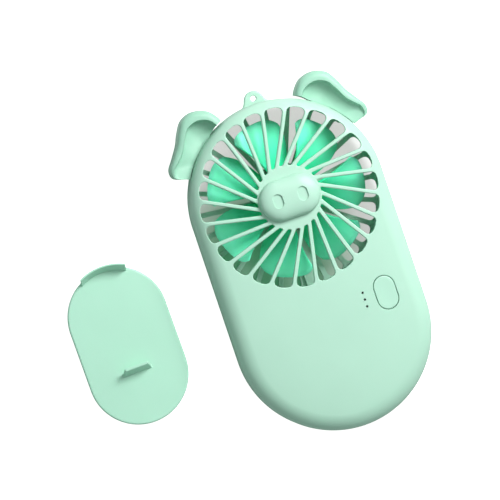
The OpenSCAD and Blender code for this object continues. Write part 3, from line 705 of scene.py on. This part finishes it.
def make_loop():
    """Lanyard loop: a rounded ear with a countersunk hole, flared into the body."""
    hole_y, hole_r, loop_r, loop_y = 38.0, 1.0, 3.8, 37.0
    low_z, top_z = 8.4, 10.8
    right = [(5.7, 34.9), (5.2, 35.6), (4.4, 36.4), (3.9, 37.3)]
    curve = catmull(right, 5) + arc(0, loop_y, loop_r, 12, 168, 30)
    curve += [(-x, y) for x, y in reversed(catmull(right, 5))]
    round_over = 0.7
    rings = []
    steps = 6
    for i in range(steps + 1):
        a = math.pi / 2 * i / steps
        rings.append((-round_over * (1 - math.sin(a)), low_z + round_over * (1 - math.cos(a))))
    for i in range(steps + 1):
        a = math.pi / 2 * i / steps
        rings.append((-round_over * (1 - math.cos(a)), top_z - round_over * (1 - math.sin(a))))
    solid = loft("loop", [[(x, y, z) for x, y in (grown(curve, g) if g else curve)]
                          for g, z in rings])
    hole = stadium_outline(hole_r, 0, 20, (0, hole_y))
    levels = [(0.4, -1), (0.4, 0)] + [(0.4 * (1 - math.sin(a)), 0.4 * (1 - math.cos(a)))
                                      for a in (0.4, 0.8, 1.2, math.pi / 2)]
    rings = [(g, top_z - d) for g, d in levels]
    rings += [(g, low_z + d) for g, d in reversed(levels)]
    punch = loft("hole", [[(x, y, z) for x, y in (grown(hole, g) if g else hole)]
                          for g, z in rings])
    combine(solid, punch, "DIFFERENCE")
    inner = round_solid("trim", [(0, 0), (INNER_R + 0.3, 0), (INNER_R + 0.3, 22), (0, 22)], 144)
    return combine(solid, inner, "DIFFERENCE")


# ---------------------------------------------------------------- snout, ears, button

def make_snout():
    """The snout cap: a superellipse dome with two oval pits."""
    half_w = (snout_high.y - snout_low.y) / 2
    half_l = (snout_high.x - snout_low.x) / 2
    top = snout_high.z
    sink = 0.06
    base_z = BODY_T - sink
    bulge = 2.7
    steps = 22
    profile = [(0, base_z), (half_w, base_z)]
    for k in range(1, steps + 1):
        a = math.pi / 2 * k / steps
        profile.append((half_w * max(math.cos(a), 0) ** (2 / bulge),
                        base_z + (top - base_z) * math.sin(a) ** (2 / bulge)))
    profile[-1] = (0, top)
    snout = sweep_round("snout", profile, 2 * (half_l - half_w), 48)
    snout.data.transform(Matrix.Rotation(math.pi / 2, 4, "Z"))

    def snout_z(x, y):
        return top - 0.06

    pit_r, pit_run, pit_x, pit_depth = 1.78, 1.7, 4.75, 0.62
    pits = [cutter("pit", stadium_outline(pit_r, pit_run, 24, (side * pit_x, 0)),
                   fillet_levels(0.18, pit_depth), snout_z, top + CAP_GAP) for side in (1, -1)]
    combine(snout, joined(pits), "DIFFERENCE")
    return finish_piece(snout, "snout", "housing", mats["shell"], ["snout_cap"])


EAR_EDGE = [(13.6, 32.6), (15.3, 36.3), (18.4, 39.4), (23.4, 40.55), (28.0, 38.8), (30.7, 34.8),
            (32.6, 30.8), (35.5, 26.4), (37.8, 22.9), (37.4, 19.7), (34.0, 18.3), (30.4, 17.9)]


def ear_section(t, length):
    """(distance in from the edge, height) points across the ear at a place along it."""
    top = ramp(t, (0, 17.7), (0.3, 17.9), (0.62, 17.4), (0.84, 16.0), (1, 15.0))
    floor = ramp(t, (0, 13.8), (0.3, 12.9), (0.62, 14.0), (0.84, 15.0), (1, 14.5))
    rim = min(ramp(t, (0, 3.0), (0.3, 3.6), (0.55, 2.6), (0.72, 1.7), (0.85, 0.9), (1, 0.7)),
              length * 0.6)
    low = 6.2
    soft_low = 1.6
    soft_top = min(2.4, rim * 0.75)
    points = [(length, low)]
    points += [(soft_low * (1 - math.sin(a)), low + soft_low * (1 - math.cos(a)))
               for a in (math.radians(15 * i) for i in range(7))]
    points += [(soft_top * (1 - math.cos(a)), top - soft_top * (1 - math.sin(a)))
               for a in (math.radians(12.857 * i) for i in range(8))]
    drop = top - floor
    points += [(rim - 0.12, top + 0.02), (rim, top - 0.05 * drop), (rim + 0.06, top - 0.14 * drop)]
    reach = min(5.0, max(length - rim - 0.3, 0.2))
    steep = 0.25 + 0.08 * drop
    points += [(rim + 0.06 + steep * k / 3, top - drop * (0.14 + 0.56 * math.sin(math.pi / 6 * k)))
               for k in range(1, 4)]
    points += [(rim + 0.06 + steep + reach * k / 6, floor + 0.30 * drop * (1 - k / 6) ** 2)
               for k in range(1, 7)]
    points.append((max(length, rim + steep + reach + 0.1), floor + 0.25))
    return points


def make_ear(side):
    """One ear with its neck: side is 1 on the right and -1 on the left."""
    edge = catmull(EAR_EDGE, 8)
    last = len(edge) - 1
    core_r = 33.2
    rings = []
    for i, (x, y) in enumerate(edge):
        t = i / last
        inner = math.radians(ramp(t, (0, 54), (0.35, 48), (0.7, 38), (1, 27.5)))
        target = Vector((core_r * math.cos(inner), core_r * math.sin(inner)))
        here = Vector((x, y))
        length = (target - here).length
        way = (target - here) / length
        rings.append([(side * (x + way.x * s), y + way.y * s, z)
                      for s, z in ear_section(t, length)])
    ear = loft("ear", rings)
    neck = EAR_NECKS[0] if side == 1 else EAR_NECKS[1]
    gap = round_solid("gap", [(0, 0), (BODY_R + 0.3, 0), (BODY_R + 0.3, 22), (0, 22)], 240)
    combine(ear, gap, "DIFFERENCE")
    corner, relief_r, relief_at = math.radians(67), 12, 25.1
    relief = round_solid("relief", [(0, 5), (relief_r, 5), (relief_r, 23), (0, 23)], 96,
                         (side * relief_at * math.cos(corner), relief_at * math.sin(corner)))
    combine(ear, relief, "DIFFERENCE")
    combine(ear, sector_solid("neck", INNER_R - 0.9, BODY_R + 0.5, *neck, 8.5, 13.5), "UNION")
    name = "ear_right" if side == 1 else "ear_left"
    return finish_piece(ear, name + "_shaped", "housing", mats["ears"], [name], 38)


def make_button():
    """The button's cap with a faint dish, its flange and its stem, in one moulding.

    The flange's top is above the inside of the visual front cover, so the two overlap there.
    """
    top = face_z(*BUTTON_XY) - 0.02
    soft = 0.3
    flange_r, flange_low, flange_top = BUTTON_R + 1, 18.7, 19.9
    profile = [(0, 18.5), (1.5, 18.5), (flange_r, flange_low), (flange_r, flange_top),
               (BUTTON_R, flange_top)]
    profile += [(BUTTON_R - soft * (1 - math.cos(a)), top - soft * (1 - math.sin(a)))
                for a in (math.radians(18 * i) for i in range(6))]
    profile += [(2.4, top - 0.05), (1.2, top - 0.09), (0, top - 0.1)]
    cap = sweep_round("button", profile, BUTTON_RUN, 40, BUTTON_XY)
    stem = round_solid("stem", [(0, 17.3), (1.4, 17.3), (1.5, 17.4), (1.5, 19), (0, 19)], 32,
                       BUTTON_XY)
    combine(cap, stem, "UNION")
    return finish_piece(cap, "button_moulding", "button", mats["button"],
                        ["power_button"])


# ---------------------------------------------------------------- impeller

BLADE_COUNT = 7
HUB_R = 11.0
TIP_R = 29.4
BLADE_T = 1.0


def blade_point(s, q):
    """Middle surface of a blade: s is -1 to 1 across it, q is 0 at the hub and 1 at the tip."""
    root = HUB_R - 0.5
    tip = TIP_R - 2.4 * abs(s) ** 5
    r = root + (tip - root) * q
    t = (r - HUB_R) / (TIP_R - HUB_R)
    half = 19.2 * (1 + 0.1 * math.sin(math.pi * max(t, 0)))
    a = math.radians(9 * t * t - 4.5 + half * s)
    bow = 0.9 * math.sin(math.pi * (s + 1) / 2) * (0.4 + 0.6 * max(t, 0))
    z = 10.8 + 4.9 * s + bow - 0.3
    return Vector((r * math.cos(a), r * math.sin(a), z))


def make_blade(turn):
    across, along = 30, 18
    spin = Matrix.Rotation(math.radians(turn), 3, "Z")
    rings = []
    for i in range(along + 1):
        q = i / along
        top, bottom = [], []
        for j in range(across + 1):
            u = 2 * j / across - 1
            s = u * (1.4 - 0.4 * u * u)
            p = blade_point(s, q)
            ds = blade_point(min(s + 0.02, 1), q) - blade_point(max(s - 0.02, -1), q)
            dq = blade_point(s, min(q + 0.02, 1)) - blade_point(s, max(q - 0.02, 0))
            n = dq.cross(ds).normalized()
            if n.z < 0:
                n = -n
            edge = math.sqrt(max(1 - abs(s) ** 24, 0)) * math.sqrt(max(1 - q ** 30, 0))
            bead = 0.5 * math.exp(-((1 - abs(s)) / 0.07) ** 2)
            half = BLADE_T / 2 * (0.2 + (0.8 + bead) * edge)
            top.append(tuple(spin @ (p + n * half)))
            bottom.append(tuple(spin @ (p - n * half)))
        rings.append(top + bottom[::-1])
    return loft("blade", rings)


def make_impeller():
    hub_top = 16.6
    soft = 1.8
    profile = [(0, hub_top)]
    profile += [(HUB_R - soft + soft * math.sin(a), hub_top - soft * (1 - math.cos(a)))
                for a in (math.radians(9 * i) for i in range(11))]
    skirt_z, rim_z, roof_z, bore_z = 3.9, 10.55, 15.2, 14.2
    cup_r, inner_r, boss_r, bore_r = 9.72, 9.6, 2.4, 0.78
    profile += [(HUB_R, skirt_z + 0.2), (HUB_R - 0.2, skirt_z), (cup_r, skirt_z), (cup_r, rim_z),
                (inner_r, rim_z), (inner_r, roof_z), (boss_r, roof_z), (boss_r, rim_z),
                (bore_r, rim_z), (bore_r, bore_z), (0, bore_z)]
    hub = round_solid("hub", profile, 96)
    for k in range(BLADE_COUNT):
        combine(hub, make_blade(-8 + 360 * k / BLADE_COUNT), "UNION")
    return finish_piece(hub, "impeller_moulding", "rotor", mats["blades"],
                        ["impeller"], 40)


# ---------------------------------------------------------------- stand plate

STAND_CENTRE = (-71.8, -33.2)
STAND_TURN = 1          # degrees


def make_stand():
    """The loose plate: rounded edge, curved leaning lip and a small leaning tab."""
    half_w, run, thick, rise = 18.5, 22.2, 1.8, 5.0
    lean = math.radians(22)
    shift = rise * math.tan(lean)
    soft, soft_low = 0.7, 0.6
    profile = [(0, 0), (half_w - soft_low, 0)]
    profile += arc(half_w - soft_low, soft_low, soft_low, -90, 0, 5)[1:]
    profile += arc(half_w - soft, thick - soft, soft, 0, 90, 6)
    profile += [(0, thick)]
    plate = sweep_round("plate", profile, run, 64)
    top = thick + rise
    lip_out, lip_t, lip_half, slope = half_w - 0.35, 0.8, 8.9, 1.0
    lip_shift = shift - 0.25
    rings = []
    steps = 30
    for i in range(steps + 1):
        k = 2 * i / steps - 1
        low_a = math.asin(lip_half / lip_out) * k
        high_a = math.asin((lip_half - slope) / lip_out) * k
        ring = []
        for r, z in ((lip_out - lip_t - 0.25, thick - 0.3), (lip_out, thick - 0.3),
                     (lip_out, thick + 0.2), (lip_out + lip_shift - 0.05, top - 0.25),
                     (lip_out + lip_shift - 0.25, top), (lip_out + lip_shift - lip_t + 0.25, top),
                     (lip_out + lip_shift - lip_t + 0.05, top - 0.25),
                     (lip_out - lip_t, thick + 0.25)):
            a = low_a + (high_a - low_a) * (z - thick) / rise
            ring.append((r * math.sin(a), run / 2 + r * math.cos(a), z))
        rings.append(ring)
    combine(plate, loft("lip", rings), "UNION")
    combine(plate, make_tab(thick, rise, shift), "UNION")
    spin = Matrix.Rotation(math.radians(STAND_TURN), 4, "Z")
    centre = Vector((*STAND_CENTRE, 0)) * MM
    plate.data.transform(Matrix.Translation(centre) @ spin)
    return finish_piece(plate, "stand_moulding", "stand", mats["stand"],
                        ["stand_plate"])


def make_tab(thick, rise, shift):
    """The plate's tab, with bevelled corners and a fillet at its root."""
    y, half_t, half_w, slope, corner = -9.8, 0.575, 5.45, 1.0, 0.15
    top = thick + rise
    rings = []
    for z, inset, grow in ((thick - 0.3, 0, 0.35), (thick, 0, 0.3), (thick + 0.12, 0, 0.1),
                           (thick + 0.35, 0, 0), (top - 0.22, 0, 0), (top - 0.07, 0.07, -0.07),
                           (top, 0.22, -0.2)):
        k = max((z - thick) / rise, 0)
        w = half_w - slope * k - inset + grow
        t = half_t + grow
        c = corner
        rings.append([(px, y + shift * k + py, z) for px, py in
                      ((w, -t + c), (w, t - c), (w - c, t), (c - w, t), (-w, t - c), (-w, c - t),
                       (c - w, -t), (w - c, -t))])
    return loft("tab", rings)


# ---------------------------------------------------------------- build

make_front_cover()
make_rear_cover()
make_snout()
make_ear(1)
make_ear(-1)
make_button()
make_impeller()
make_stand()

for row in frame["record"]["subparts"]:
    node = frame["nodes"][row["node"]]
    node.data.materials.clear()
    node.data.materials.append(mats[row["material_slot"]])


# ---------------------------------------------------------------- floor, light and camera

FLOOR_HALF = 3.0
FLOOR_DROP = 0.0002     # the floor lies this far under the object's lowest face
GRILLE_EDGE = (0.0345, 0.0355)
SHADE_SPOT = (-0.014, -0.022, 0)
SHADE_REACH = (0.016, 0.044)
FLOOR_GREY_AND_PAINTED_SHADE = (0.30, 0.61)       # painted shade under the grille, and the plain floor grey outside it
# painted shade: the glow's strength at SHADE_SPOT and away from it
PAINTED_SHADE_GLOW = (0.26, 0.58)
# painted green shade at SHADE_SPOT, then the plain glow's colour
GLOW_AND_PAINTED_SHADE_COLOURS = ((0.05, 0.50, 0.18), (1.0, 0.985, 0.965))


def make_floor():
    """A pale floor that glows, for camera rays only.

    It isn't plain: under the grille it is darker, a painted shade, and its glow fades to a painted
    green shade round SHADE_SPOT, to imitate what shows through the photo's slots.
    """
    size = FLOOR_HALF
    mesh = bpy.data.meshes.new("floor")
    mesh.from_pydata([(-size, -size, 0), (size, -size, 0), (size, size, 0), (-size, size, 0)], [],
                     [(0, 1, 2, 3)])
    floor = bpy.data.objects.new("floor", mesh)
    bpy.context.scene.collection.objects.link(floor)
    floor.location.z = -FLOOR_DROP
    mat, tree, surface, place = shader("pale_floor")
    grain = noise(tree, place, 60, 3)
    apart = number_between(tree, distance_to(tree, place, SHADE_SPOT), 0, 1, *SHADE_REACH)
    open_floor = number_between(tree, distance_to(tree, place, (0, 0, 0)), 0, 1, *GRILLE_EDGE)
    # painted shade: the floor's grey is darker under the grille
    shaded = number_between(tree, open_floor, *FLOOR_GREY_AND_PAINTED_SHADE, 0, 1)
    tree.links.new(number_of(tree, "SUBTRACT", shaded, number_between(tree, grain, 0, 0.02)),
                   surface.inputs["Base Color"])
    surface.inputs["Roughness"].default_value = 0.9
    # painted shade: towards SHADE_SPOT the glow turns green and dims
    clear = number_of(tree, "MAXIMUM", apart, open_floor)
    tree.links.new(colour_between(tree, clear, *GLOW_AND_PAINTED_SHADE_COLOURS, 0.0, 0.8),
                   surface.inputs["Emission Color"])
    shade = number_between(tree, apart, *PAINTED_SHADE_GLOW, 0, 1)
    glow = number_of(tree, "MAXIMUM", shade, open_floor)
    seen = tree.nodes.new("ShaderNodeLightPath").outputs["Is Camera Ray"]
    tree.links.new(number_of(tree, "MULTIPLY", glow, seen), surface.inputs["Emission Strength"])
    mesh.materials.append(mat)


VIEW_ROLL = math.radians(18.75)
IMAGE_RIGHT = Vector((math.cos(VIEW_ROLL), -math.sin(VIEW_ROLL), 0))
IMAGE_UP = Vector((math.sin(VIEW_ROLL), math.cos(VIEW_ROLL), 0))


LIGHT_AIM = Vector((-0.02, -0.02, 0))
WORLD_TINT = (0.80, 1, 0.94)    # greenish, not neutral
WORLD_STRENGTH = 0.33


def area_light(name, right, up, out, size, power):
    """An area light placed along the image's right, up and outward directions, in metres."""
    data = bpy.data.lights.new(name, "AREA")
    data.shape = "DISK"
    data.size = size
    data.energy = power
    light = bpy.data.objects.new(name, data)
    bpy.context.scene.collection.objects.link(light)
    light.location = LIGHT_AIM + IMAGE_RIGHT * right + IMAGE_UP * up + Vector((0, 0, out))
    light.rotation_euler = (light.location - LIGHT_AIM).to_track_quat("Z", "Y").to_euler()


def make_lights():
    area_light("key", right=0.25, up=0.38, out=0.46, size=0.30, power=5.0)
    area_light("top_fill", right=0.15, up=0.15, out=1.3, size=0.9, power=1.8)
    world = bpy.data.worlds.new("studio")
    world.use_nodes = True
    background = world.node_tree.nodes["Background"]
    background.inputs["Color"].default_value = (*WORLD_TINT, 1)
    background.inputs["Strength"].default_value = WORLD_STRENGTH
    bpy.context.scene.world = world


def make_camera():
    data = bpy.data.cameras.new("camera")
    camera = bpy.data.objects.new("camera", data)
    bpy.context.scene.collection.objects.link(camera)
    bpy.context.scene.camera = camera
    distance = 2.4
    view_width = 0.1818
    sensor = 36
    data.sensor_width = sensor
    data.lens = sensor * distance / view_width
    side, lift = math.radians(-4.9), math.radians(2.7)
    back = Vector((math.tan(side), math.tan(lift), 1)).normalized()
    up = (IMAGE_UP - back * IMAGE_UP.dot(back)).normalized()
    right = up.cross(back)
    aim = Vector((-0.0199, -0.0135, 0.022))
    camera.matrix_world = Matrix.Translation(aim + back * distance) @ Matrix(
        (right, up, back)).transposed().to_4x4()
    data.clip_start, data.clip_end = 0.05, 20


make_floor()
make_lights()
make_camera()
bpy.context.scene.view_settings.view_transform = "Standard"
